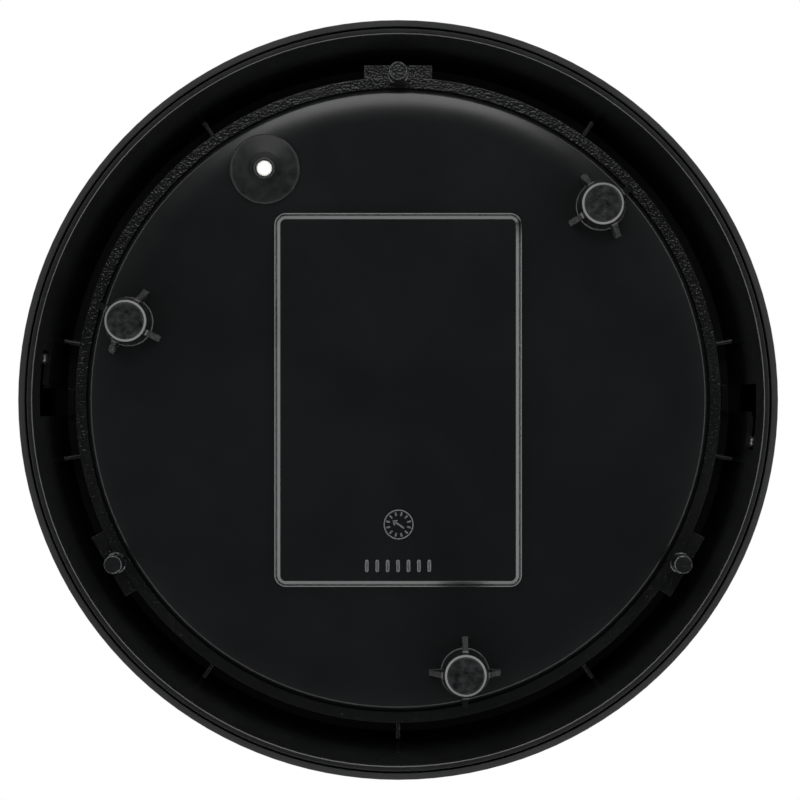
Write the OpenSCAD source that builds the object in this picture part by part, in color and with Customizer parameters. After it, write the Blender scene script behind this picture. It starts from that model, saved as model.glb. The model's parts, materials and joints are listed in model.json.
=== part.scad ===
// Digital bathroom scale, round drum pattern, one load cell.
// A base pan stands on three feet. A platform frame hangs around it on the load cell, and a
// round cover twist-locks onto the frame.
// Frame of reference: origin on the floor under the centre, +Z up, +Y towards the display.

/* [Overall] */
// Largest diameter, across the cover's skirt
overall_d = 300; // [296:1:310]
// Height from the floor to the top of the tread mat
overall_h = 60; // [60:0.5:66]
// Height of the base pan's flat underside above the floor
plate_z = 12; // [11:0.5:12.5]

/* [Base pan] */
// Radius of the smooth plate, out to its step
plate_r = 122.4; // [120:0.2:123]
// Moulded wall thickness of the pan
pan_t = 2.5; // [2:0.1:2.8]
// Outer radius of the ledge around the plate
ledge_r = 128.2; // [127.6:0.2:129]
// Height of the ledge above the plate's flat
ledge_step = 5; // [4.6:0.1:5.4]
// Width of the raised rectangle
panel_w = 97.6; // [94:0.2:99]
// Length of the raised rectangle
panel_l = 147.4; // [146:0.2:149]
// Height of the raised rectangle
panel_h = 2; // [1.6:0.1:2.2]

/* [Feet and stops] */
// Radius of the circle of feet
foot_circle_r = 110.6; // [109:0.2:111.6]
// Angle of the first foot
foot_angle = 16.2; // [14:0.2:18]
// Radius of a foot post at the floor
foot_tip_r = 8.3; // [8:0.1:8.6]
// Radius of a foot post at the pan
foot_root_r = 9.4; // [9:0.1:9.8]
// Radius of the circle of stop pins
pin_circle_r = 129.3; // [128.8:0.1:129.6]
// Radius of a stop pin
pin_r = 3.65; // [3.4:0.05:3.8]
// Height of the stop pins' tips above the floor
pin_tip_z = 7; // [6.5:0.1:8]

/* [Unit button] */
// Radius of the soft grommet around the button
grommet_r = 13.8; // [13:0.1:14]
// Radius of the button
button_r = 3.2; // [3:0.05:3.3]
// Travel of the button
button_travel = 1.2; // [0.8:0.1:1.2]

/* [Frame and cover] */
// Height of the frame's channel floor above the floor
web_z = 41; // [41:0.1:41.6]
// Wall thickness of the frame
frame_t = 2.2; // [2:0.1:2.3]
// Turn that locks the cover onto the frame
lock_turn = 7; // [6:0.1:7]
// Thickness of the cover's top
cover_t = 3; // [2.8:0.1:3.2]

/* [Hidden] */
$fn = 96;

// Radii that follow the overall diameter
rim_r = overall_d / 2;
lip_in_r = rim_r - 6.7;
lip_out_r = rim_r - 4.5;
skirt_in_r = rim_r - 3.7;
skirt_wall_r = rim_r - 2.8;
floor_r = rim_r - 14.5;

// Heights
ledge_z = plate_z + ledge_step;
tab_z = ledge_z + 0.8;
panel_z = plate_z - panel_h;
pan_in_z = plate_z + pan_t;
pocket_z = panel_z + pan_t;
base_plate_t = 2.5;
base_plate_top = pocket_z + base_plate_t;
spacer_t = 3;
cell_z = base_plate_top + spacer_t;
cell_h = 20;
cell_top = cell_z + cell_h;
lip_z = 6;
web_t = 2.5;
web_top = web_z + web_t;
cover_top = overall_h - 1;
cover_under = cover_top - cover_t;

// Feet, stop tabs and pan details
gusset_t = 2.3;
gusset_reach = foot_root_r + 4.65;
gusset_turn = 30 - foot_angle;
pad_seat_r = foot_tip_r - 1.1;
foot_core_r = foot_tip_r - 2.6;
tab_w = 26.9;
tab_angles = [90, 210, 330];
stake_x = 38;
stake_y = 62;
stake_r = 2;
pocket_margin = 4.6;

// Load cell and its screws
cell_w = 30;
cell_l = 130;
cell_hole_y = [46, 59];
m6_r = 3;
m6_head_r = 5;

// Grommet and button
button_angle = 60;
button_circle_r = 105.2;
bore_gap = 0.25;
seat_r = 7;
button_face_z = plate_z - 3.1;
collar_z = pan_in_z + 1.4;
stem_top_z = collar_z + 1.7;
switch_z = stem_top_z + button_travel + 0.2;
switch_w = 6;
switch_h = 3.5;
button_board_z = switch_z + switch_h;
button_board_screw_y = 10.9;
board_t = 1.6;

// Twist lock
slot_z0 = 14;
slot_z1 = 22;
entry_a0 = -2.6;
entry_a1 = 1.9;
lug_a = lock_turn - 0.3;
slot_end_a = lug_a + 1.3;
lug_r = 2.15;
lug_z0 = 15.2;
lug_z1 = 21.2;

// Ribs of the frame: in its channel, and on its top under the cover
channel_rib_angles = [10, 55, 125, 170, 190, 235, 270, 305, 350];
top_rib_angles = [0, 30, 150, 180, 210, 240, 300, 330];
rib_t = 1.8;

// Display and battery compartment
display_y = 100;
window_w = 74;
window_l = 34;
main_board_z = web_top + 3;
main_board_w = 92;
main_board_l = 46;
main_screw_x = 42;
main_screw_y = 19;
harness_hole = [26, 38];
aaa_r = 5.25;
aaa_l = 44.5;
aaa_pitch = 11.6;

function arc(cx, cy, rx, ry, a0, a1, n) =
  [for (i = [0 : n]) [cx + rx * cos(a0 + (a1 - a0) * i / n), cy + ry * sin(a0 + (a1 - a0) * i / n)]];

// Inner face of the frame's leaning wall at a given height
function wall_r(z) = lip_in_r + (floor_r - lip_in_r) * (z - lip_z) / (web_z - lip_z);

module at_polar(r, a) {
  rotate([0, 0, a]) translate([r, 0, 0]) children();
}

module at_foot(k) {
  at_polar(foot_circle_r, foot_angle + 120 * k) children();
}

module at_button() {
  at_polar(button_circle_r, button_angle) children();
}

module at_stakes() {
  for (x = [-stake_x, stake_x], y = [-stake_y, stake_y]) translate([x, y, 0]) children();
}

module at_main_screws() {
  for (x = [-main_screw_x, main_screw_x], y = [-main_screw_y, main_screw_y])
    translate([x, display_y + y, 0]) children();
}

// A sector of a ring, from angle a0 to a1
module sector(r0, r1, z0, z1, a0, a1) {
  rotate([0, 0, a0])
    rotate_extrude(angle = a1 - a0)
      translate([r0, z0]) square([r1 - r0, z1 - z0]);
}

module rounded_rect(w, l, r) {
  square([w - 2 * r, l], center = true);
  square([w, l - 2 * r], center = true);
  for (x = [-1, 1], y = [-1, 1])
    translate([x * (w / 2 - r), y * (l / 2 - r)]) circle(r);
}

module plate(w, l, r, z0, z1) {
  translate([0, 0, z0]) linear_extrude(z1 - z0) rounded_rect(w, l, r);
}

// A raised panel on the underside, with rounded corners. Its edge has a shallow chamfer, a steeper
// wall and a sloped root that meets the surface around it at root_z. Its flat face is down, at z0.
module soft_panel(w, l, r, z0, z1, root_z) {
  h = z1 - z0;
  face_r = r - 2.6;
  chamfer_w = 1.4;
  bend = 0.5;
  profile = concat(
    [[0, z1], [0, z0]],
    arc(face_r, z0 + bend, bend, bend, -90, -57, 3),
    [[face_r + chamfer_w, z0 + 0.9], [r - 0.4, root_z - 0.28], [r, root_z], [r, z1]]
  );
  for (x = [-1, 1], y = [-1, 1])
    translate([x * (w / 2 - r), y * (l / 2 - r), 0]) rotate_extrude() polygon(profile);
  for (s = [0, 180]) {
    rotate([0, 0, s]) translate([w / 2 - r, l / 2 - r, 0])
      rotate([90, 0, 0]) linear_extrude(l - 2 * r) polygon(profile);
    rotate([0, 0, s + 90]) translate([l / 2 - r, w / 2 - r, 0])
      rotate([90, 0, 0]) linear_extrude(w - 2 * r) polygon(profile);
  }
  translate([-(w / 2 - r), -(l / 2 - r), z0]) cube([w - 2 * r, l - 2 * r, h]);
}

// A pan-head screw along Z with its head's underside at z and its tip at tip_z
module screw(z, tip_z, shank_r, head_r, head_h) {
  s = sign(z - tip_z);
  rotate_extrude() polygon([
    [0, tip_z], [shank_r * 0.7, tip_z], [shank_r, tip_z + s * shank_r * 0.5], [shank_r, z],
    [head_r, z], [head_r, z + s * head_h * 0.6], [head_r * 0.75, z + s * head_h], [0, z + s * head_h]
  ]);
}

module screw_recess(z, r, depth) {
  translate([0, 0, z - depth]) {
    translate([-r, -r * 0.18, 0]) cube([2 * r, 0.36 * r, depth + 1]);
    translate([-r * 0.18, -r, 0]) cube([0.36 * r, 2 * r, depth + 1]);
  }
}

// ---- base ----

module pan_profile() {
  crown_r0 = plate_r - 12.4;
  crown = 50;
  crown_a = asin(11 / crown);
  crown_end = [crown_r0 + crown * sin(crown_a), plate_z + crown * (1 - cos(crown_a))];
  edge = 1.5;
  edge_c = [crown_end[0] - edge * sin(crown_a), crown_end[1] + edge * cos(crown_a)];
  wall = edge_c[0] + edge;
  groove_w = 1.35;
  groove_d = 0.9;
  rim_in = ledge_r - pan_t + 0.3;
  upstand_z = ledge_z + 10;
  polygon(concat(
    [[0, pan_in_z], [0, plate_z]],
    arc(crown_r0, plate_z + crown, crown, crown, -90, crown_a - 90, 22),
    arc(edge_c[0], edge_c[1], edge, edge, crown_a - 84, 0, 8),
    [[wall + 0.25, ledge_z + groove_d], [wall + groove_w, ledge_z + groove_d]],
    arc(wall + groove_w + 0.4, ledge_z + 0.4, 0.4, 0.4, 180, 270, 4),
    arc(ledge_r - 0.35, ledge_z + 0.35, 0.35, 0.35, -90, 0, 4),
    [[ledge_r, upstand_z], [rim_in, upstand_z], [rim_in, ledge_z + pan_t],
     [plate_r - pan_t + 0.5, ledge_z + pan_t], [plate_r - pan_t - 1.2, pan_in_z + 0.9],
     [plate_r - pan_t - 4, pan_in_z]]
  ));
}

module foot_post() {
  tip_z = 0.3;
  root_fillet = 0.25;
  difference() {
    union() {
      rotate_extrude() polygon([
        [0, pan_in_z - 0.5], [0, tip_z], [foot_tip_r - 1, tip_z], [foot_tip_r - 0.15, tip_z + 0.6],
        [foot_tip_r, tip_z + 0.9], [foot_root_r, plate_z - root_fillet],
        [foot_root_r + 2 * root_fillet, plate_z + root_fillet],
        [foot_root_r + 2 * root_fillet, pan_in_z - 0.5]
      ]);
      for (a = [0 : 90 : 270])
        rotate([90, 0, a + gusset_turn]) translate([0, 0, -gusset_t / 2])
          linear_extrude(gusset_t) gusset_profile();
    }
    translate([0, 0, tip_z - 1]) cylinder(r = pad_seat_r, h = 2.6);
  }
}

module gusset_profile() {
  polygon([[foot_tip_r - 1, 2], [foot_tip_r + 0.6, 2], [foot_tip_r + 1.2, 2.6],
           [gusset_reach - 0.2, plate_z - 1.3], [gusset_reach, plate_z - 1],
           [gusset_reach, plate_z + 1.2], [foot_tip_r - 1, plate_z + 1.2]]);
}

// The outward gusset runs on past the plate's edge, down to the ledge
module outer_gusset() {
  rotate([0, 0, gusset_turn])
    translate([gusset_reach - 5, -gusset_t / 2, plate_z - 0.5]) cube([5, gusset_t, ledge_step + 1.1]);
}

module stop_tab() {
  tab_r = pin_circle_r + 3.6;
  tip = 0.6;
  translate([ledge_r - 3.6, -tab_w / 2, tab_z]) cube([tab_r - ledge_r + 3.6, tab_w, pan_t]);
  translate([pin_circle_r, 0, 0]) rotate_extrude() polygon(concat(
    [[0, tab_z + 1], [0, pin_tip_z]],
    arc(pin_r - tip, pin_tip_z + tip, tip, tip, -90, 0, 5),
    [[pin_r, tab_z - 1.6], [pin_r + 0.5, tab_z - 1.2], [pin_r + 0.5, tab_z + 1]]
  ));
}

module base_pan() {
  boss_r = 2.6;
  pilot_r = 0.95;
  color("#17181a") difference() {
    union() {
      rotate_extrude($fn = 180) pan_profile();
      soft_panel(panel_w, panel_l, 4.6, panel_z, plate_z + 0.5, plate_z);
      at_button() translate([0, 0, plate_z]) cylinder(r = grommet_r, h = pan_t);
      for (k = [0 : 2]) at_foot(k) {
        foot_post();
        outer_gusset();
      }
      for (a = tab_angles) rotate([0, 0, a]) stop_tab();
      // Bosses for the button's board
      at_button() for (y = [-button_board_screw_y, button_board_screw_y])
        translate([0, y, pan_in_z - 0.5]) cylinder(r = boss_r, h = button_board_z - pan_in_z + 0.5);
      // Heat stakes that hold the steel base plate
      at_stakes() {
        translate([0, 0, pocket_z - 0.5]) cylinder(r = stake_r, h = base_plate_t + 1);
        translate([0, 0, base_plate_top]) cylinder(r1 = 3.6, r2 = 2.4, h = 1.4);
      }
      // Radial stiffening ribs inside, apart from where the button sits
      for (a = [0 : 30 : 330]) if (a != button_angle)
        rotate([0, 0, a]) translate([80, -rib_t / 2, pan_in_z - 0.5]) cube([30, rib_t, 3]);
    }
    // Pocket for the base plate, around the heat stakes
    difference() {
      plate(panel_w - pocket_margin, panel_l - pocket_margin, 3, pocket_z, base_plate_top);
      at_stakes() cylinder(r = stake_r, h = 30);
    }
    for (k = [0 : 2]) at_foot(k) translate([0, 0, 4.4]) cylinder(r = foot_core_r, h = 20);
    at_button() {
      translate([0, 0, 5]) cylinder(r = seat_r, h = 20);
      for (y = [-button_board_screw_y, button_board_screw_y])
        translate([0, y, pan_in_z]) cylinder(r = pilot_r, h = 20);
    }
  }
}

module foot_pad() {
  pad_r = pad_seat_r - 0.1;
  pad_t = 1.9;
  edge = 0.3;
  color("#2b2b2d") rotate_extrude() polygon(concat(
    [[0, pad_t], [0, 0]], arc(pad_r - edge, edge, edge, edge, -90, 0, 4), [[pad_r, pad_t]]
  ));
}

module foot_pad_at(k) {
  at_foot(k) foot_pad();
}

module base_plate() {
  color("#8b8f94") difference() {
    plate(panel_w - pocket_margin - 0.4, panel_l - pocket_margin - 0.4, 2.8, pocket_z, base_plate_top);
    at_stakes() cylinder(r = stake_r + 0.25, h = 40);
    for (y = cell_hole_y) translate([0, -y, 0]) cylinder(r = m6_r + 0.05, h = 40);
    // Lightening holes
    for (x = [-28, 28]) translate([x, 0, 0]) cylinder(r = 9, h = 40);
  }
}

module button_grommet() {
  rim_r0 = button_r + bore_gap;
  color("#3a3a3c") at_button() rotate_extrude() polygon([
    [rim_r0, pan_in_z + 1.2], [rim_r0, button_face_z - 0.5], [rim_r0 + 0.25, button_face_z - 0.7],
    [rim_r0 + 0.6, button_face_z - 0.5], [rim_r0 + 0.7, button_face_z - 0.1],
    [rim_r0 + 3.2, button_face_z + 0.25], [grommet_r - 1, plate_z - 1],
    [grommet_r - 0.3, plate_z - 0.7], [grommet_r, plate_z - 0.3], [grommet_r, plate_z],
    [seat_r - 0.1, plate_z], [seat_r - 0.1, pan_in_z], [seat_r + 1.2, pan_in_z],
    [seat_r + 1, pan_in_z + 1.2]
  ]);
}

module unit_button() {
  collar_h = 1.2;
  color("#e8e6e1") at_button() rotate_extrude() polygon(concat(
    [[0, stem_top_z]], [[0, button_face_z - 0.25]],
    arc(button_r - 0.4, button_face_z + 0.4, 0.4, 0.4, -90, 0, 4),
    [[button_r, collar_z], [5, collar_z], [5, collar_z + collar_h], [2, collar_z + collar_h], [2, stem_top_z]]
  ));
}

module switch_plunger() {
  color("#202022") at_button() translate([0, 0, stem_top_z]) cylinder(r = 1.7, h = 2.2);
}

module tact_switch() {
  color("#303033") at_button() difference() {
    translate([-switch_w / 2, -switch_w / 2, switch_z]) cube([switch_w, switch_w, switch_h]);
    translate([0, 0, switch_z - 1]) cylinder(r = 1.95, h = 3.8);
  }
}

module button_board() {
  color("#1e5a34") at_button() difference() {
    plate(16, 27, 1.5, button_board_z, button_board_z + board_t);
    for (y = [-button_board_screw_y, button_board_screw_y]) translate([0, y, 0]) cylinder(r = 1.3, h = 40);
  }
}

module button_board_screws() {
  top = button_board_z + board_t;
  color("#9a9da1") at_button() for (y = [-button_board_screw_y, button_board_screw_y])
    translate([0, y, 0]) difference() {
      screw(top, top - 6.5, 0.9, 2, 1.3);
      screw_recess(top + 1.3, 1.1, 0.6);
    }
}

// ---- load cell ----

module load_cell() {
  waist_r = 6.5;
  color("#b9bcc0") difference() {
    translate([-cell_w / 2, -cell_l / 2, cell_z]) cube([cell_w, cell_l, cell_h]);
    // Two crosswise bores joined by a slot make the bending section
    for (y = [-14, 14]) translate([-20, y, cell_z + cell_h / 2])
      rotate([0, 90, 0]) cylinder(r = waist_r, h = 40);
    translate([-20, -14, cell_z + cell_h / 2 - 3]) cube([40, 28, 6]);
    for (y = cell_hole_y) {
      translate([0, -y, cell_z - 1]) cylinder(r = m6_r + 0.3, h = cell_h + 2);
      translate([0, y, cell_top - 15]) cylinder(r = m6_r + 0.1, h = 20);
    }
  }
}

module gauge_sealant() {
  color("#e9e7df") for (z = [cell_z - 1.2, cell_top])
    plate(24, 44, 3, z, z + 1.2);
}

module cell_spacer(sign_y, z) {
  color("#a3a6aa") difference() {
    translate([-cell_w / 2, sign_y * 52.5 - 12.5, z]) cube([cell_w, 25, spacer_t]);
    for (y = cell_hole_y) translate([0, sign_y * y, z - 1]) cylinder(r = m6_r + 0.3, h = spacer_t + 2);
  }
}

module lower_cell_screws() {
  color("#6c7075") for (y = cell_hole_y) translate([0, -y, 0]) difference() {
    screw(cell_top, pocket_z + 0.4, m6_r, m6_head_r, 3.2);
    screw_recess(cell_top + 3.2, 2.6, 1.5);
  }
}

module upper_cell_screws() {
  color("#6c7075") for (y = cell_hole_y) translate([0, y, 0]) difference() {
    screw(web_top, cell_top - 11, m6_r, m6_head_r, 3.2);
    screw_recess(web_top + 3.2, 2.6, 1.5);
  }
}

// ---- frame ----

module frame_profile() {
  edge = 0.9;
  lean = atan((lip_in_r - floor_r) / (web_z - lip_z));
  polygon(concat(
    [[0, web_top], [0, web_z]],
    arc(floor_r - 1, web_z - 1, 1, 1, 90, lean, 5),
    arc(lip_in_r + edge, lip_z + edge, edge, edge, 180 + lean, 270, 5),
    [[lip_out_r - 0.12, lip_z], [lip_out_r, lip_z + 0.12], [lip_out_r, lip_z + 1.6],
     [wall_r(lip_z + 4) + frame_t, lip_z + 4], [floor_r + frame_t, web_z], [floor_r + frame_t, web_top]]
  ));
}

// A rib across the channel with a rounded edge, and a fin that climbs the wall and fades out
module channel_rib(a) {
  rib_z = web_z - 11;
  round_r = rib_t / 2 - 0.05;
  round_z = rib_z + rib_t / 2;
  rib_start = 80;
  fin_r = wall_r(rib_z) - 1.3;
  fade_z = lip_z + 14;
  rotate([0, 0, a]) {
    rotate([90, 0, 0]) translate([0, 0, -rib_t / 2]) linear_extrude(rib_t) polygon([
      [rib_start - 8, web_z + 1], [rib_start - 4, rib_z + 3], [rib_start, round_z],
      [fin_r - 0.9, round_z], [fin_r, rib_z], [wall_r(fade_z) - 0.1, fade_z],
      [wall_r(fade_z) + 1, fade_z], [floor_r + 1, web_z + 1]
    ]);
    translate([rib_start, 0, round_z]) rotate([0, 90, 0])
      cylinder(r = round_r, h = fin_r + 0.6 - rib_start, $fn = 32);
  }
}

// The L-shaped way of a lug: down through the channel's floor, past a lead-in, along the wall
module twist_slot() {
  slot_out_r = rim_r - 3.9;
  lead_a = 0.6;
  sector(floor_r + 0.1, slot_out_r, slot_z0, slot_z1, entry_a0, slot_end_a);
  sector(floor_r + 0.1, slot_out_r, slot_z0, slot_z1 + 1.2, entry_a0, entry_a1 + lead_a);
  sector(floor_r - 1.4, slot_out_r, slot_z0, web_top + 1, entry_a0, entry_a1);
}

module platform_frame() {
  rib_top = cover_under - 0.1;
  tool_r = 6.5;
  color("#131416") difference() {
    union() {
      rotate_extrude($fn = 180) frame_profile();
      for (a = channel_rib_angles) channel_rib(a);
      // Thickened floor beside each lug's way in
      for (s = [0, 180]) rotate([0, 0, s])
        sector(floor_r - 4.1, floor_r - 1.4, web_z - 3.5, web_z + 0.5, entry_a0, entry_a1);
      // Ribs and a ring on top that carry the cover
      for (a = top_rib_angles) rotate([0, 0, a])
        translate([45, -1, web_top - 0.5]) cube([floor_r - 47, 2, rib_top - web_top + 0.5]);
      rotate_extrude() translate([floor_r - 3, web_top - 0.5]) square([2, rib_top - web_top - 0.1]);
      // Bosses for the main board
      at_main_screws() translate([0, 0, web_top - 0.5]) cylinder(r = 3, h = main_board_z - web_top + 0.5);
    }
    for (s = [0, 180]) rotate([0, 0, s]) twist_slot();
    // Screwdriver access to the cell's lower screws
    translate([0, 0, web_z - 1]) linear_extrude(5) {
      for (y = cell_hole_y) translate([0, -y]) circle(tool_r);
      translate([-tool_r, -cell_hole_y[1]]) square([2 * tool_r, cell_hole_y[1] - cell_hole_y[0]]);
    }
    for (y = cell_hole_y) translate([0, y, web_z - 1]) cylinder(r = m6_r + 0.3, h = 5);
    translate(concat(harness_hole, web_z - 1)) cylinder(r = 4, h = 5);
    at_main_screws() translate([0, 0, web_z + 1]) cylinder(r = 1.05, h = 20);
  }
}

module main_board() {
  color("#1e5a34") difference() {
    translate([0, display_y, 0]) plate(main_board_w, main_board_l, 2, main_board_z, main_board_z + board_t);
    at_main_screws() cylinder(r = 1.5, h = 60);
  }
}

module main_board_screws() {
  top = main_board_z + board_t;
  color("#9a9da1") at_main_screws() difference() {
    screw(top, top - 5, 1, 2.2, 1.4);
    screw_recess(top + 1.4, 1.2, 0.6);
  }
}

module controller_chip() {
  top = main_board_z + board_t;
  color("#0f0f10") translate([-40, display_y, 0]) rotate_extrude() polygon(concat(
    [[0, top]], arc(0, top, 3.6, 1.6, 0, 90, 8)
  ));
}

module display_holder() {
  z0 = main_board_z + board_t;
  z1 = z0 + 6.6;
  color("#d9dadb") translate([0, display_y, 0]) difference() {
    plate(69, 33, 1.5, z0, z1);
    plate(65, 29, 1, z0 - 1, z1 - 0.8);
    plate(60, 24, 1, z0, z1 + 1);
  }
}

module display_panel() {
  z0 = main_board_z + board_t + 3;
  color("#7d8a7c") translate([0, display_y, 0]) plate(64.6, 28.6, 0.8, z0, z0 + 2.7);
}

module display_backlight() {
  z0 = main_board_z + board_t;
  color("#eef0f0") translate([0, display_y, 0]) plate(62, 20, 1, z0, z0 + 2.9);
}

module display_connectors() {
  z0 = main_board_z + board_t;
  color("#cfa6a0") for (y = [-1, 1])
    translate([-29, display_y + y * 12.2 - 1.1, z0]) cube([58, 2.2, 3]);
}

module battery_holder() {
  w = aaa_l + 9;
  l = 3 * aaa_pitch + 3;
  color("#1a1b1d") difference() {
    plate(w, l, 1.5, web_top, web_top + 9);
    plate(w - 3, l - 3, 1, web_top + 1.4, web_top + 10);
  }
}

module battery(k) {
  z = web_top + 1.5 + aaa_r;
  s = k == 1 ? -1 : 1;
  translate([0, (k - 1) * aaa_pitch, z]) rotate([0, s * 90, 0]) translate([0, 0, -aaa_l / 2]) rotate_extrude()
    polygon([[0, 0], [4.2, 0], [4.2, 0.4], [aaa_r - 0.3, 0.4], [aaa_r, 0.7], [aaa_r, aaa_l - 1.6],
             [aaa_r - 0.5, aaa_l - 1.1], [1.9, aaa_l - 1.1], [1.7, aaa_l], [0, aaa_l]]);
}

module battery_contacts() {
  z = web_top + 1.5 + aaa_r;
  end = aaa_l / 2;
  color("#c8cacc") for (k = [-1, 0, 1]) {
    s = k == 0 ? -1 : 1;
    // Flat contact at the button end, coiled contact at the other
    translate([s * (end + 0.9) - 0.25, k * aaa_pitch - 3, z - 3]) cube([0.5, 6, 6]);
    translate([-s * (end + 0.15), k * aaa_pitch, z]) rotate([0, -s * 90, 0]) rotate_extrude()
      polygon([[0, 0], [1.6, 0], [1.6, 0.6], [2.2, 0.6], [2.2, 1.2], [2.8, 1.2], [2.8, 1.8],
               [3.4, 1.8], [3.4, 2.3], [0, 2.3]]);
  }
}

// The harness leaves the cell's side, climbs through the frame's floor and runs to the plug
harness_route = [
  [17.2, 2, 32], [19, 4, 32], [21.5, 8, 32], [23.5, 13, 32.2], [25, 19, 32.8], [26, 26, 33.6],
  [26.2, 32, 34.8], [26.2, 36, 37], [26, 38, 40], [26, 38.4, 43], [26.4, 40, 45.2], [27.2, 44, 46],
  [28.4, 50, 46], [29.4, 57, 46], [30, 63, 46], [30, 66.3, 46]
];

function unit(v) = v / norm(v);

function heading(path, i) = unit(path[min(i + 1, len(path) - 1)] - path[max(i - 1, 0)]);

function ring(path, i, r, sides) =
  let (t = heading(path, i), u = unit(cross(t, [1, 0, 0])), v = cross(t, u))
  [for (k = [0 : sides - 1]) path[i] + r * (cos(360 * k / sides) * u + sin(360 * k / sides) * v)];

// A tube swept along a path of points, one ring of points at each
module tube(path, r, sides) {
  last = len(path) - 1;
  points = [for (i = [0 : last], p = ring(path, i, r, sides)) p];
  walls = [for (i = [0 : last - 1], k = [0 : sides - 1]) let (n = (k + 1) % sides)
    [i * sides + k, (i + 1) * sides + k, (i + 1) * sides + n, i * sides + n]];
  caps = [[for (k = [0 : sides - 1]) k], [for (k = [sides - 1 : -1 : 0]) last * sides + k]];
  polyhedron(points, concat(walls, caps));
}

module wire_harness() {
  color("#a32a24") tube(harness_route, 1.3, 8);
}

module harness_plug() {
  color("#e4e2da") translate([26, 66.3, web_top + 0.3]) cube([8, 8, 4.4]);
}

// ---- cover ----

module cover_profile() {
  top_edge = 9;
  top_edge_h = top_edge + 4;
  foot_z = 6.7;
  foot_edge = 0.3;
  foot_out_r = rim_r - 1;
  flare_z = 20;
  wall_t = rim_r - skirt_wall_r;
  corner = [rim_r - top_edge, cover_top - top_edge_h];
  polygon(concat(
    [[0, cover_top], [0, cover_under]],
    arc(corner[0], corner[1], top_edge - wall_t, top_edge_h - cover_t, 90, 0, 12),
    [[skirt_wall_r, 11], [skirt_in_r, 10], [skirt_in_r, foot_z + 0.3], [skirt_in_r + 0.3, foot_z]],
    arc(foot_out_r - foot_edge, foot_z + foot_edge, foot_edge, foot_edge, -90, -5, 4),
    [[rim_r, flare_z]],
    arc(corner[0], corner[1], top_edge, top_edge_h, 0, 90, 18)
  ));
}

module lug() {
  nose = wall_r(18) - 0.3;
  flat_r = lug_r - 0.2;
  for (z = [lug_z0 + lug_r, lug_z1 - lug_r]) translate([nose, 0, z]) rotate([0, 90, 0])
    rotate_extrude($fn = 48) polygon([[0, 0], [lug_r - 1, 0], [lug_r - 0.4, 0.25], [lug_r, 0.9],
                                      [lug_r, skirt_wall_r - nose + 0.5], [0, skirt_wall_r - nose + 0.5]]);
  translate([nose + 0.3, -flat_r, lug_z0 + lug_r])
    cube([skirt_wall_r - nose, 2 * flat_r, lug_z1 - lug_z0 - 2 * lug_r]);
}

module platform_cover() {
  color("#1c1d20") difference() {
    union() {
      rotate_extrude($fn = 180) cover_profile();
      for (s = [0, 180]) rotate([0, 0, s + lug_a]) lug();
    }
    translate([0, 0, cover_top - 1]) cylinder(r = rim_r - 13, h = 5, $fn = 180);
    translate([0, display_y, 0]) {
      plate(window_w - 6, window_l - 6, 2, cover_under - 1, cover_top + 1);
      plate(window_w, window_l, 4, cover_top - 2, cover_top + 1);
    }
  }
}

module display_window() {
  color("#0a0c0e") translate([0, display_y, 0])
    plate(window_w - 0.4, window_l - 0.4, 3.8, cover_top - 2, cover_top - 0.2);
}

module display_surround() {
  color("#26282b") translate([0, display_y, 0]) difference() {
    plate(window_w + 8, window_l + 8, 6, cover_top - 1, cover_top + 0.6);
    plate(window_w - 0.1, window_l - 0.1, 3.9, cover_top - 3, cover_top + 1);
  }
}

module tread_mat() {
  r = rim_r - 13.3;
  z0 = cover_top - 1;
  color("#242528") difference() {
    rotate_extrude($fn = 180) polygon(concat(
      [[0, z0], [r, z0]], arc(r - 0.8, overall_h - 0.8, 0.8, 0.8, 0, 90, 5), [[0, overall_h]]
    ));
    translate([0, display_y, 0]) plate(window_w + 8.6, window_l + 8.6, 6.3, z0 - 1, overall_h + 1);
  }
}

base_pan();
base_plate();
foot_pad_at(0);  // foot_pad_1
foot_pad_at(1);  // foot_pad_2
foot_pad_at(2);  // foot_pad_3
button_grommet();
unit_button();
switch_plunger();
tact_switch();
button_board();
button_board_screws();
load_cell();
gauge_sealant();
cell_spacer(-1, base_plate_top);  // lower_spacer
lower_cell_screws();
cell_spacer(1, cell_top);  // upper_spacer
upper_cell_screws();
platform_frame();
main_board();
main_board_screws();
controller_chip();
display_holder();
display_panel();
display_backlight();
display_connectors();
battery_holder();
color("#b58a3c") battery(0);  // battery_1
color("#b58a3c") battery(1);  // battery_2
color("#b58a3c") battery(2);  // battery_3
battery_contacts();
wire_harness();
harness_plug();
platform_cover();
display_window();
display_surround();
tread_mat();
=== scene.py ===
import json
import math

import bmesh
import bpy
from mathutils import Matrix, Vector

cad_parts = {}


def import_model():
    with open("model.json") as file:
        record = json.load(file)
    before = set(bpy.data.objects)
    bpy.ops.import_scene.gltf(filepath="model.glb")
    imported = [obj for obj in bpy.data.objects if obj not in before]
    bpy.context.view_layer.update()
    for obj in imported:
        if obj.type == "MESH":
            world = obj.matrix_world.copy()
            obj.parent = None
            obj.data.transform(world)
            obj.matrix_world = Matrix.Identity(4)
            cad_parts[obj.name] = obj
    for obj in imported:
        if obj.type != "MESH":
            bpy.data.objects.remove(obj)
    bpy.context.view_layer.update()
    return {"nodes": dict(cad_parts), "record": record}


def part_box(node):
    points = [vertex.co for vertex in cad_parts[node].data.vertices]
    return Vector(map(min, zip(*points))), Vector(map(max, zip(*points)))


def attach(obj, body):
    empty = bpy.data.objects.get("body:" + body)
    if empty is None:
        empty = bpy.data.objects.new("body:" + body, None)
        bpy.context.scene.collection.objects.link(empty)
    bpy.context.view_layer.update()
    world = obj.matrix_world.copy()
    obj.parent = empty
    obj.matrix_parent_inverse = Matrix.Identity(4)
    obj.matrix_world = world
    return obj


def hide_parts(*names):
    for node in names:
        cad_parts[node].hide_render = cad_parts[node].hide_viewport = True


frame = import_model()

MM = 0.001
nodes = frame["nodes"]

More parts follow.
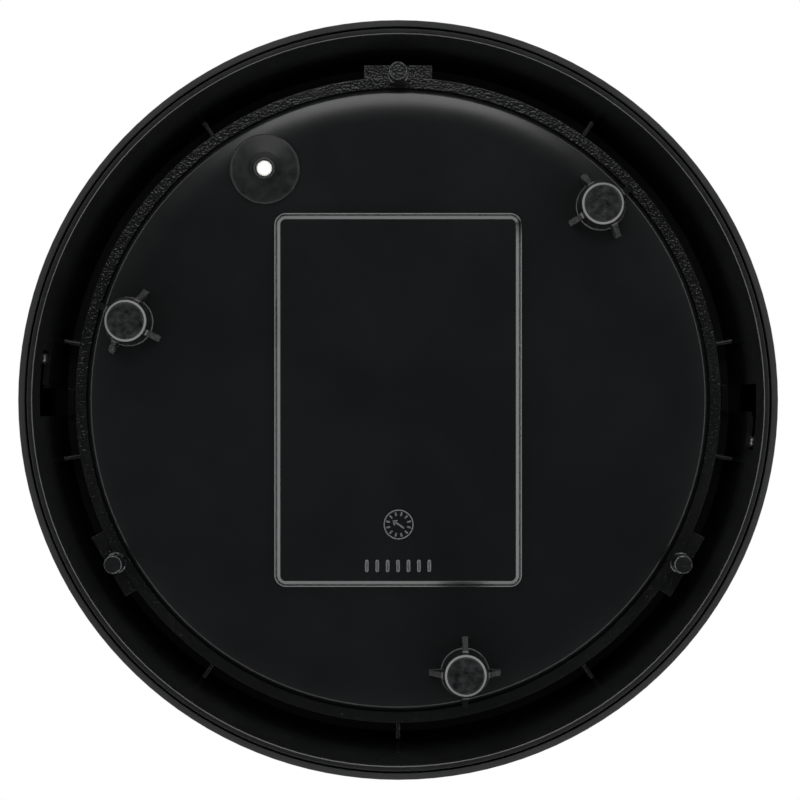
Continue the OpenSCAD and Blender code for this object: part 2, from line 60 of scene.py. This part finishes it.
# ---------------------------------------------------------------- places, from the frame
plate_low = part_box("base_plate")[0]
mat_low, mat_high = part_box("tread_mat")
surround_low, surround_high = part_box("display_surround")
panel_low, panel_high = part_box("display_panel")

# The steel plate lies on the pan's wall. Under the wall is the raised panel's face, and the ledge is above it
pan_wall = 2.5 * MM
ledge_rise = 7.0 * MM
panel_face_z = plate_low.z - pan_wall
ledge_face_z = panel_face_z + ledge_rise

# The stop pins stand on tabs just outside the ledge
stop_mount = next(m for m in frame["record"]["mounts"] if m["name"] == "stop_pins")
pin_circle_r = stop_mount["dims"]["pcd_mm"] / 2 * MM
ledge_half_w = 3.0 * MM
ledge_mid_r = pin_circle_r - 2.9 * MM
ledge_in_r = ledge_mid_r - ledge_half_w

# The frame ends in a narrow flat rim, and the ribs in its channel end short of that
rim_w = 2.2 * MM
rim_out_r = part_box("platform_frame")[1].x
rim_in_r = rim_out_r - rim_w
ribs_out_r = rim_in_r - 5.5 * MM


# ---------------------------------------------------------------- mesh helpers
def new_object(name, bm, smooth_angle=35.0):
    """Turns a bmesh into an object, smooth except at edges sharper than smooth_angle degrees."""
    bmesh.ops.recalc_face_normals(bm, faces=bm.faces)
    mesh = bpy.data.meshes.new(name)
    bm.to_mesh(mesh)
    bm.free()
    for face in mesh.polygons:
        face.use_smooth = True
    mesh.set_sharp_from_angle(angle=math.radians(smooth_angle))
    obj = bpy.data.objects.new(name, mesh)
    bpy.context.scene.collection.objects.link(obj)
    return obj


def add_piece(obj, body, material, replaced=()):
    """Gives a piece its material, its body and the CAD nodes it stands for."""
    obj.data.materials.clear()
    obj.data.materials.append(material)
    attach(obj, body)
    if replaced:
        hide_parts(*replaced)
    return obj


def polar(r, degrees, z=0.0):
    a = math.radians(degrees)
    return Vector((r * math.cos(a), r * math.sin(a), z))


def loop_of(bm, outline, z):
    return [bm.verts.new((x, y, z)) for x, y in outline]


def join_loops(bm, loops, closed=False):
    """Skins neighbouring loops that have the same number of points."""
    pairs = list(zip(loops, loops[1:]))
    if closed:
        pairs.append((loops[-1], loops[0]))
    for a, b in pairs:
        for i in range(len(a)):
            j = (i + 1) % len(a)
            bm.faces.new((a[i], a[j], b[j], b[i]))


def prism(bm, outline, z0, z1):
    """A closed prism over an outline of 2D points."""
    loops = [loop_of(bm, outline, z) for z in (z0, z1)]
    join_loops(bm, loops)
    bm.faces.new(loops[0][::-1])
    bm.faces.new(loops[-1])


def circle_outline(cx, cy, r, segments):
    spots = [polar(r, 360 * i / segments) for i in range(segments)]
    return [(cx + p.x, cy + p.y) for p in spots]


def rounded_outline(cx, cy, w, l, r, steps=8):
    """A rectangle with rounded corners."""
    points = []
    for corner, (sx, sy) in enumerate(((1, 1), (-1, 1), (-1, -1), (1, -1))):
        for i in range(steps + 1):
            p = polar(r, 90 * corner + 90 * i / steps)
            points.append((cx + sx * (w / 2 - r) + p.x, cy + sy * (l / 2 - r) + p.y))
    return points


def capsule_outline(x0, y0, x1, y1, r, steps=6):
    heading = math.degrees(math.atan2(y1 - y0, x1 - x0))
    points = []
    for cx, cy, start in ((x1, y1, heading - 90), (x0, y0, heading + 90)):
        for i in range(steps + 1):
            p = polar(r, start + 180 * i / steps)
            points.append((cx + p.x, cy + p.y))
    return points


def raised_stroke(bm, x0, y0, x1, y1, r, face_z, height):
    """A rounded ridge from one point to another, standing down from a face at face_z."""
    root = 0.05 * MM
    levels = ((1.0, -root), (1.0, 0.0), (0.78, 0.55 * height), (0.42, height))
    loops = [loop_of(bm, capsule_outline(x0, y0, x1, y1, r * k), face_z - drop) for k, drop in levels]
    join_loops(bm, loops)
    bm.faces.new(loops[0][::-1])
    bm.faces.new(loops[-1])


def raised_ring(bm, cx, cy, r, half_w, face_z, height, segments=72):
    """A ring with a ridge of triangular section, standing down from a face at face_z."""
    section = ((r - half_w, 0.05 * MM), (r - half_w * 0.3, -height), (r + half_w * 0.3, -height),
               (r + half_w, 0.05 * MM))
    loops = [loop_of(bm, circle_outline(cx, cy, radius, segments), face_z + dz) for radius, dz in section]
    join_loops(bm, loops, closed=True)


# ---------------------------------------------------------------- materials
class Graph:
    """Builds a node material step by step."""

    def __init__(self, name):
        self.material = bpy.data.materials.new(name)
        self.material.use_nodes = True
        self.tree = self.material.node_tree
        self.shader = self.tree.nodes["Principled BSDF"]
        self.coords = self.tree.nodes.new("ShaderNodeTexCoord").outputs["Object"]

    def node(self, kind, **values):
        n = self.tree.nodes.new(kind)
        for key, value in values.items():
            if key in n.bl_rna.properties:
                setattr(n, key, value)
            else:
                n.inputs[key.replace("_", " ")].default_value = value
        return n

    def link(self, a, b):
        self.tree.links.new(a, b)

    def noise(self, feature, detail=2.0, roughness=0.5, coords=None):
        """Noise whose lumps are about feature metres across."""
        n = self.node("ShaderNodeTexNoise", Scale=1.0 / feature, Detail=detail, Roughness=roughness)
        self.link(coords or self.coords, n.inputs["Vector"])
        return n.outputs["Fac"]

    def spread(self, fac, low, high, lo_in=0.3, hi_in=0.7):
        """Stretches fac from the range lo_in to hi_in onto the range low to high."""
        n = self.node("ShaderNodeMapRange")
        self.link(fac, n.inputs["Value"])
        for socket, value in (("From Min", lo_in), ("From Max", hi_in), ("To Min", low), ("To Max", high)):
            n.inputs[socket].default_value = value
        return n.outputs["Result"]

    def math(self, operation, a, b=None):
        n = self.node("ShaderNodeMath", operation=operation)
        for i, value in enumerate((a, b)):
            if isinstance(value, (int, float)):
                n.inputs[i].default_value = value
            elif value is not None:
                self.link(value, n.inputs[i])
        return n.outputs[0]

    def colours(self, fac, low, high):
        n = self.node("ShaderNodeMix", data_type="RGBA")
        self.link(fac, n.inputs["Factor"])
        low_socket, high_socket = [s for s in n.inputs if s.type == "RGBA"]
        low_socket.default_value = (*low, 1)
        high_socket.default_value = (*high, 1)
        return next(o for o in n.outputs if o.type == "RGBA")

    def radius(self):
        """Distance from the object's vertical axis."""
        separate = self.node("ShaderNodeSeparateXYZ")
        self.link(self.coords, separate.inputs[0])
        x, y = separate.outputs["X"], separate.outputs["Y"]
        squares = self.math("ADD", self.math("MULTIPLY", x, x), self.math("MULTIPLY", y, y))
        return self.math("SQRT", squares)

    def soft_edges(self, radius):
        """A normal that rounds the sharp edges of the mesh over a radius, which may be a socket."""
        n = self.node("ShaderNodeBevel", samples=4)
        if isinstance(radius, float):
            n.inputs["Radius"].default_value = radius
        else:
            self.link(radius, n.inputs["Radius"])
        return n.outputs["Normal"]

    def bump(self, height, strength, distance, normal=None):
        n = self.node("ShaderNodeBump", Strength=strength, Distance=distance)
        self.link(height, n.inputs["Height"])
        if normal is not None:
            self.link(normal, n.inputs["Normal"])
        return n.outputs["Normal"]

    def finish(self, colour=None, roughness=None, normal=None, **constants):
        for output, socket in ((colour, "Base Color"), (roughness, "Roughness"), (normal, "Normal")):
            if output is not None:
                self.link(output, self.shader.inputs[socket])
        for key, value in constants.items():
            self.shader.inputs[key.replace("_", " ")].default_value = value
        return self.material


def grey(value, blue=1.1):
    return (value, value * (1 + blue) / 2, value * blue)


def moulded(name, dark, light, rough, spread=0.05, grain=0.4, depth=0.010, specular=0.5, cloud=18,
            edge=0.25):
    """Moulded plastic or rubber: slow clouds in colour and gloss, and a fine grain. Lengths in mm."""
    g = Graph(name)
    clouds = g.noise(cloud * MM, 3)
    mottle = g.noise(3.1 * MM, 3)
    colour = g.colours(g.spread(clouds, 0, 1), dark, light)
    roughness = g.math("ADD", g.spread(clouds, rough - spread, rough + spread),
                       g.spread(mottle, -spread / 2, spread / 2))
    normal = g.bump(g.noise(grain * MM, 3, 0.6), 1.0, depth * MM, g.soft_edges(edge * MM))
    return g.finish(colour, roughness, normal, Specular_IOR_Level=specular)


def pan_plastic():
    """Satin black plastic, smooth on the plate and coarse spark-eroded on the ledge around it."""
    g = Graph("pan_plastic")
    colour = g.colours(g.spread(g.noise(34 * MM, 3), 0, 1), grey(0.0024, 1.2), grey(0.0034, 1.2))
    fade = 0.3 * MM
    ledge = g.spread(g.radius(), 0.0, 1.0, ledge_in_r - fade, ledge_in_r + fade)
    edges = g.soft_edges(g.spread(ledge, 0.17 * MM, 0.40 * MM, 0, 1))
    smooth = g.bump(g.noise(0.45 * MM), 0.35, 0.006 * MM, edges)
    wavy = g.bump(g.noise(16 * MM), 0.25, 0.05 * MM, smooth)
    erosion = g.math("MULTIPLY", g.noise(0.8 * MM, 1.0, 0.5), ledge)
    normal = g.bump(erosion, 1.0, 0.32 * MM, wavy)
    roughness = g.spread(g.noise(26 * MM, 5, 0.65), 0.21, 0.25)
    return g.finish(colour, roughness, normal, Specular_IOR_Level=0.5)


def frame_plastic():
    """Satin black plastic. The edges of the ribs and of the rim are softened, the wall between is not."""
    g = Graph("frame_plastic")
    colour = g.colours(g.spread(g.noise(18 * MM, 3), 0, 1), grey(0.0024), grey(0.0034))
    edge, fade = 0.25 * MM, 0.5 * MM
    radius = g.radius()
    ribs = g.spread(radius, edge, 0.0, ribs_out_r - fade, ribs_out_r)
    rim = g.spread(radius, 0.0, edge, rim_in_r - 2 * fade, rim_in_r - fade)
    edges = g.soft_edges(g.math("ADD", ribs, rim))
    normal = g.bump(g.noise(0.4 * MM, 3, 0.6), 1.0, 0.008 * MM, edges)
    roughness = g.spread(g.noise(3.1 * MM, 3), 0.27, 0.33)
    return g.finish(colour, roughness, normal, Specular_IOR_Level=0.42)


def painted_sheen_mark():
    """The marks moulded into the underside. Their colour is lighter than the pan's, a painted sheen on their
    tops.
    """
    g = Graph("painted_sheen_mark")
    wear_and_painted_sheen = g.noise(0.8 * MM, 4, 0.7)
    # Painted sheen: the light greys stand in for highlights on the marks' tops. The roughness and bump from
    # the same noise are surface texture.
    colour = g.colours(g.spread(wear_and_painted_sheen, 0, 1), grey(0.016), grey(0.05))
    return g.finish(colour, g.spread(wear_and_painted_sheen, 0.28, 0.42), g.bump(wear_and_painted_sheen, 0.5, 0.01 * MM))


def metal(name, dark, light, rough, stretch=(1, 1, 1)):
    """Bare metal with brushed or rolled streaks."""
    g = Graph(name)
    scale = g.node("ShaderNodeMapping")
    scale.inputs["Scale"].default_value = stretch
    g.link(g.coords, scale.inputs["Vector"])
    streaks = g.noise(0.9 * MM, 3, 0.6, scale.outputs["Vector"])
    colour = g.colours(g.spread(streaks, 0, 1), grey(dark, 1.04), grey(light, 1.02))
    normal = g.bump(streaks, 0.4, 0.01 * MM)
    return g.finish(colour, g.spread(streaks, rough - 0.08, rough + 0.08), normal, Metallic=1.0)


def window_acrylic():
    g = Graph("window_acrylic")
    haze = g.spread(g.noise(9 * MM, 3), 0, 1)
    tint = g.colours(haze, grey(0.72, 1.02), grey(0.76, 1.02))
    smudge = g.spread(g.noise(14 * MM, 4, 0.6), 0.03, 0.09)
    return g.finish(tint, smudge, None, Transmission_Weight=1.0, IOR=1.45)


def circuit_board():
    g = Graph("board")
    cell = g.node("ShaderNodeTexVoronoi", Scale=1 / (3.2 * MM), distance="CHEBYCHEV")
    g.link(g.coords, cell.inputs["Vector"])
    tracks = g.spread(cell.outputs["Distance"], 0, 1, 0.30, 0.36)
    colour = g.colours(tracks, (0.015, 0.11, 0.05), (0.03, 0.19, 0.08))
    return g.finish(colour, g.spread(g.noise(4 * MM), 0.3, 0.42), g.bump(tracks, 0.5, 0.03 * MM))


def jacket():
    """Film on a battery: a black band and a gold band, with nothing printed on them."""
    g = Graph("battery_jacket")
    separate = g.node("ShaderNodeSeparateXYZ")
    g.link(g.coords, separate.inputs[0])
    band_x = 8.0 * MM
    band = g.spread(separate.outputs["X"], 0, 1, band_x - 0.1 * MM, band_x + 0.1 * MM)
    colour = g.colours(band, grey(0.012), (0.58, 0.33, 0.08))
    scuffs = g.noise(2 * MM, 4, 0.7)
    return g.finish(colour, g.spread(scuffs, 0.18, 0.34), g.bump(scuffs, 0.3, 0.02 * MM), Metallic=0.3)


# Each plain material: its darkest and lightest colour, its roughness and what differs from the usual values
MOULDED = {
    "cover_plastic": (grey(0.0050), grey(0.0070), 0.31, dict(spread=0.02, depth=0.008, edge=0.15)),
    "pad_rubber": (grey(0.0020), grey(0.0110), 0.38,
                   dict(spread=0.12, grain=0.9, depth=0.14, specular=0.21, cloud=3)),
    "grommet_rubber": (grey(0.0035), grey(0.0070), 0.34,
                       dict(spread=0.07, depth=0.03, specular=0.19, cloud=5)),
    "button_plastic": ((0.70, 0.69, 0.66), (0.80, 0.79, 0.76), 0.35, dict(depth=0.004, cloud=2)),
    "switch_plastic": (grey(0.012), grey(0.020), 0.45, dict()),
    "sealant": ((0.70, 0.69, 0.64), (0.80, 0.79, 0.74), 0.45, dict(grain=1.2, depth=0.15, cloud=6)),
    "chip_resin": (grey(0.006), grey(0.010), 0.16, dict(grain=1.5, depth=0.02)),
    "holder_plastic": (grey(0.60, 1.02), grey(0.66, 1.02), 0.42, dict()),
    "display_cell": ((0.26, 0.32, 0.25), (0.29, 0.35, 0.28), 0.22, dict(depth=0.003)),
    "light_guide": (grey(0.72, 1.02), grey(0.80, 1.02), 0.30, dict()),
    "connector_rubber": ((0.48, 0.22, 0.20), (0.60, 0.32, 0.29), 0.60, dict(depth=0.02)),
    "wire_insulation": ((0.34, 0.02, 0.015), (0.42, 0.03, 0.02), 0.38, dict(grain=0.8, depth=0.02)),
    "plug_plastic": ((0.66, 0.63, 0.56), (0.72, 0.69, 0.62), 0.42, dict()),
    "surround_plastic": (grey(0.010), grey(0.014), 0.20, dict(depth=0.004)),
    "tread_rubber": (grey(0.014), grey(0.024), 0.60, dict(depth=0.03, specular=0.4)),
    "display_ink": (grey(0.006), grey(0.009), 0.30, dict(depth=0.003)),
}

MATERIALS = {
    "pan_plastic": pan_plastic(),
    "frame_plastic": frame_plastic(),
    "painted_sheen_mark": painted_sheen_mark(),
    "board": circuit_board(),
    "screw_steel": metal("screw_steel", 0.40, 0.58, 0.32),
    "cell_aluminium": metal("cell_aluminium", 0.62, 0.76, 0.34, (1, 12, 1)),
    "plate_steel": metal("plate_steel", 0.34, 0.50, 0.42, (5, 1, 1)),
    "battery_jacket": jacket(),
    "contact_metal": metal("contact_metal", 0.62, 0.78, 0.24),
    "window_acrylic": window_acrylic(),
}
for slot_name, (dark, light, rough, extra) in MOULDED.items():
    MATERIALS[slot_name] = moulded(slot_name, dark, light, rough, **extra)

for entry in frame["record"]["subparts"]:
    for material_slot in nodes[entry["node"]].material_slots:
        material_slot.material = MATERIALS[entry["material_slot"]]


# ---------------------------------------------------------------- moulded marks on the underside
def date_insert():
    """The round mould insert: a rim, twelve short strokes and a pointer, with no characters."""
    bm = bmesh.new()
    centre = Vector((-0.2 * MM, plate_low.y + 22.2 * MM, 0))
    height = 0.28 * MM
    rim_r, rim_half_w = 5.65 * MM, 0.28 * MM
    stroke_w = 0.75 * MM

    def stroke(a, b, width):
        p, q = centre + a, centre + b
        raised_stroke(bm, p.x, p.y, q.x, q.y, width / 2, panel_face_z, height)

    raised_ring(bm, centre.x, centre.y, rim_r, rim_half_w, panel_face_z, height)
    for month in range(12):
        degrees = 30 * month + 15
        stroke(polar(3.75 * MM, degrees), polar(4.75 * MM, degrees), stroke_w)
    aim, barb_turn = 34, 142
    tip = polar(2.5 * MM, aim)
    stroke(polar(2.3 * MM, aim + 180), polar(1.4 * MM, aim), stroke_w)
    for side in (-1, 1):
        stroke(tip, tip + polar(1.5 * MM, aim + side * barb_turn), 0.65 * MM)
    return new_object("mould_date_insert", bm, 60)


def blank_mark():
    """A row of plain raised bars where a mould usually carries its number."""
    bm = bmesh.new()
    cy = plate_low.y + 5.9 * MM
    half_l, half_w, height = 1.75 * MM, 0.75 * MM, 0.4 * MM
    for place in range(-3, 4):
        x = place * 4.1 * MM
        raised_stroke(bm, x, cy - half_l, x, cy + half_l, half_w, panel_face_z, height)
    return new_object("mould_blank_bars", bm, 60)


def ledge_nibs():
    """Two short witness marks beside each other on the ledge."""
    bm = bmesh.new()
    half_l, half_w, height = 0.8 * MM, 0.16 * MM, 0.14 * MM
    for degrees in (6.7, 7.5):
        a, b = polar(ledge_mid_r - half_l, degrees), polar(ledge_mid_r + half_l, degrees)
        raised_stroke(bm, a.x, a.y, b.x, b.y, half_w, ledge_face_z, height)
    return new_object("ledge_nibs", bm, 60)


add_piece(date_insert(), "base", MATERIALS["painted_sheen_mark"])
add_piece(blank_mark(), "base", MATERIALS["painted_sheen_mark"])
add_piece(ledge_nibs(), "base", MATERIALS["pan_plastic"])


# ---------------------------------------------------------------- display digits
def display_segment(bm, cx, cy, length, width, upright, z0, z1):
    """One bar of a seven-segment digit, with pointed ends."""
    half, tip = length / 2, width / 2
    shoulder = half - tip
    outline = [(-half, 0), (-shoulder, -tip), (shoulder, -tip), (half, 0), (shoulder, tip), (-shoulder, tip)]
    if upright:
        outline = [(-y, x) for x, y in outline]
    prism(bm, [(cx + x, cy + y) for x, y in outline], z0, z1)


def display_digits():
    """The reading of an empty scale: a nought, a point and a nought."""
    bm = bmesh.new()
    sunk, ink_t = 0.02 * MM, 0.1 * MM
    z0 = panel_high.z - sunk
    z1 = z0 + ink_t
    centre = (panel_low + panel_high) / 2
    bar, gap, width, pitch = 7.2 * MM, 0.5 * MM, 1.5 * MM, 12.5 * MM
    nought = [(0, bar, False), (0, -bar, False), (-bar / 2, bar / 2, True), (bar / 2, bar / 2, True),
              (-bar / 2, -bar / 2, True), (bar / 2, -bar / 2, True)]
    for cx in (centre.x, centre.x + pitch):
        for dx, dy, upright in nought:
            display_segment(bm, cx + dx, centre.y + dy, bar - gap, width, upright, z0, z1)
    prism(bm, rounded_outline(centre.x + pitch / 2, centre.y - bar, width, width, 0.3 * MM), z0, z1)
    return new_object("display_digits", bm, 20)


add_piece(display_digits(), "platform", MATERIALS["display_ink"])


# ---------------------------------------------------------------- ribbed tread mat
rib_h = 0.7 * MM
rib_w = 1.9 * MM
rib_pitch = 3.2 * MM
sheet_top = mat_high.z - rib_h


def mat_sheet(bm, radius, opening):
    """The mat's sheet, with a rounded outer edge and an opening round the display."""
    edge = 0.6 * MM
    rings = [(radius, mat_low.z), (radius, sheet_top - edge)]
    for degrees in (22.5, 45, 67.5, 90):
        p = polar(edge, degrees)
        rings.append((radius - edge + p.x, sheet_top - edge + p.y))
    outside = [loop_of(bm, circle_outline(0, 0, r, 192), z) for r, z in rings]
    inside = [loop_of(bm, opening, z) for z in (mat_low.z, sheet_top)]
    join_loops(bm, outside)
    join_loops(bm, inside)
    for outer, inner in ((outside[0], inside[0]), (outside[-1], inside[-1])):
        edges = [bm.edges.get((ring[i - 1], ring[i])) for ring in (outer, inner) for i in range(len(ring))]
        bmesh.ops.triangle_fill(bm, use_beauty=True, use_dissolve=False, edges=edges)


def mat_rib(bm, x, y0, y1):
    """One closed rib along Y from y0 to y1, with rounded flanks and sloping ends."""
    half, slope, root = rib_w / 2, 1.1 * MM, 0.05 * MM
    section = [(-1, 0), (-0.92, 0.55), (-0.58, 0.92), (0, 1), (0.58, 0.92), (0.92, 0.55), (1, 0)]
    z0 = sheet_top - root
    stations = [(y0, 0.2), (y0 + 0.4 * slope, 0.7), (y0 + slope, 1.0)]
    stations += [(y1 - slope, 1.0), (y1 - 0.4 * slope, 0.7), (y1, 0.2)]
    loops = []
    for y, h in stations:
        width, height = half * (0.75 + 0.25 * h), (rib_h + root) * h
        loops.append([bm.verts.new((x + sx * width, y, z0 + height * sz)) for sx, sz in section])
    join_loops(bm, loops)
    bm.faces.new(loops[0][::-1])
    bm.faces.new(loops[-1])


def tread_mat():
    """The rubber mat that is trodden on: a sheet with straight ribs, clear of the display."""
    bm = bmesh.new()
    radius = (mat_high.x - mat_low.x) / 2
    gap, margin = 0.3 * MM, 2.6 * MM
    hole_w = surround_high.x - surround_low.x + 2 * gap
    hole_l = surround_high.y - surround_low.y + 2 * gap
    hole_y = (surround_low.y + surround_high.y) / 2
    mat_sheet(bm, radius, rounded_outline(0, hole_y, hole_w, hole_l, 6.3 * MM))
    rows = int(2 * (radius - margin) / rib_pitch)
    for k in range(rows + 1):
        x = (k - rows / 2) * rib_pitch
        reach = math.sqrt((radius - margin) ** 2 - x * x)
        spans = [(-reach, reach)]
        if abs(x) < hole_w / 2 + margin:
            spans = [(-reach, hole_y - hole_l / 2 - margin), (hole_y + hole_l / 2 + margin, reach)]
        for y0, y1 in spans:
            if y1 - y0 > 1.5 * rib_pitch:
                mat_rib(bm, x, y0, y1)
    return new_object("tread_mat_ribbed", bm, 40)


add_piece(tread_mat(), "cover", MATERIALS["tread_rubber"], ["tread_mat"])


# ---------------------------------------------------------------- floor, light and camera
def floor():
    """A pale floor that is seen only from above. Under the scale it lets the light from below through."""
    bm = bmesh.new()
    floor_r = 6.0
    bmesh.ops.create_circle(bm, cap_ends=True, segments=128, radius=floor_r)
    obj = new_object("floor", bm)
    if obj.data.polygons[0].normal.z < 0:
        obj.data.flip_normals()
    g = Graph("floor")
    tone = g.colours(g.spread(g.noise(0.4, 3), 0, 1), grey(0.44, 0.99), grey(0.48, 0.99))
    g.finish(tone, g.spread(g.noise(0.02, 3), 0.55, 0.65))
    clear = g.node("ShaderNodeBsdfTransparent")
    mix = g.node("ShaderNodeMixShader")
    side = g.node("ShaderNodeNewGeometry")
    path = g.node("ShaderNodeLightPath")
    under = g.math("LESS_THAN", g.radius(), rim_out_r)
    lets_light_in = g.math("SUBTRACT", under, path.outputs["Is Camera Ray"])
    g.link(g.math("MAXIMUM", side.outputs["Backfacing"], lets_light_in), mix.inputs[0])
    g.link(g.shader.outputs[0], mix.inputs[1])
    g.link(clear.outputs[0], mix.inputs[2])
    g.link(mix.outputs[0], g.tree.nodes["Material Output"].inputs["Surface"])
    obj.data.materials.append(g.material)
    obj.visible_shadow = False


def area_light(name, place, target, size, size_y, power):
    data = bpy.data.lights.new(name, "AREA")
    data.shape = "RECTANGLE"
    data.size, data.size_y = size, size_y
    data.energy = power
    obj = bpy.data.objects.new(name, data)
    obj.location = place
    obj.rotation_euler = (Vector(target) - Vector(place)).to_track_quat("-Z", "Y").to_euler()
    obj.visible_camera = False
    bpy.context.scene.collection.objects.link(obj)


def world():
    """White to the camera. As light: dark straight below, a bright band round that, soft above."""
    strength = 6.0
    # Where straight down is 0 and straight up is 1: the share of the strength there
    stops = ((0.0, 0.006), (0.15, 0.012), (0.22, 0.2), (0.26, 1.0), (0.33, 1.0), (0.41, 0.45), (0.50, 0.3),
             (0.70, 0.22), (0.86, 0.24), (1.0, 0.30))
    w = bpy.data.worlds.new("studio")
    bpy.context.scene.world = w
    w.use_nodes = True
    tree = w.node_tree
    background = tree.nodes["Background"]
    background.inputs["Strength"].default_value = strength
    coords = tree.nodes.new("ShaderNodeTexCoord")
    separate = tree.nodes.new("ShaderNodeSeparateXYZ")
    tree.links.new(coords.outputs["Generated"], separate.inputs[0])
    up = tree.nodes.new("ShaderNodeMapRange")
    up.inputs["From Min"].default_value = -1
    tree.links.new(separate.outputs["Z"], up.inputs["Value"])
    ramp = tree.nodes.new("ShaderNodeValToRGB")
    tree.links.new(up.outputs["Result"], ramp.inputs["Fac"])
    elements = ramp.color_ramp.elements
    while len(elements) < len(stops):
        elements.new(0.5)
    for element, (place, value) in zip(elements, stops):
        element.position = place
        element.color = (value, value, value, 1)
    path = tree.nodes.new("ShaderNodeLightPath")
    mix = tree.nodes.new("ShaderNodeMix")
    mix.data_type = "RGBA"
    tree.links.new(path.outputs["Is Camera Ray"], mix.inputs["Factor"])
    for_light, for_camera = [s for s in mix.inputs if s.type == "RGBA"]
    tree.links.new(ramp.outputs["Color"], for_light)
    for_camera.default_value = (1 / strength, 1 / strength, 1 / strength, 1)
    tree.links.new(next(o for o in mix.outputs if o.type == "RGBA"), background.inputs["Color"])


def camera():
    """Straight below the scale, looking up at its underside."""
    distance = 0.844
    data = bpy.data.cameras.new("camera")
    data.lens = 97.65
    data.sensor_width = 36
    data.clip_start = 0.01
    data.clip_end = 50
    data.shift_x = 0.0024
    obj = bpy.data.objects.new("camera", data)
    obj.location = (0, 0, -distance)
    obj.rotation_euler = (0, math.pi, 0)
    bpy.context.scene.collection.objects.link(obj)
    bpy.context.scene.camera = obj


floor()
world()
scale_middle = (0, 0, 0.03)
area_light("key_below", (0.02, 0.74, -0.90), scale_middle, 0.7, 0.40, 3.1)
area_light("key_above", (-0.7, -0.9, 1.3), scale_middle, 0.8, 0.8, 9)
camera()
bpy.context.scene.view_settings.view_transform = "Standard"
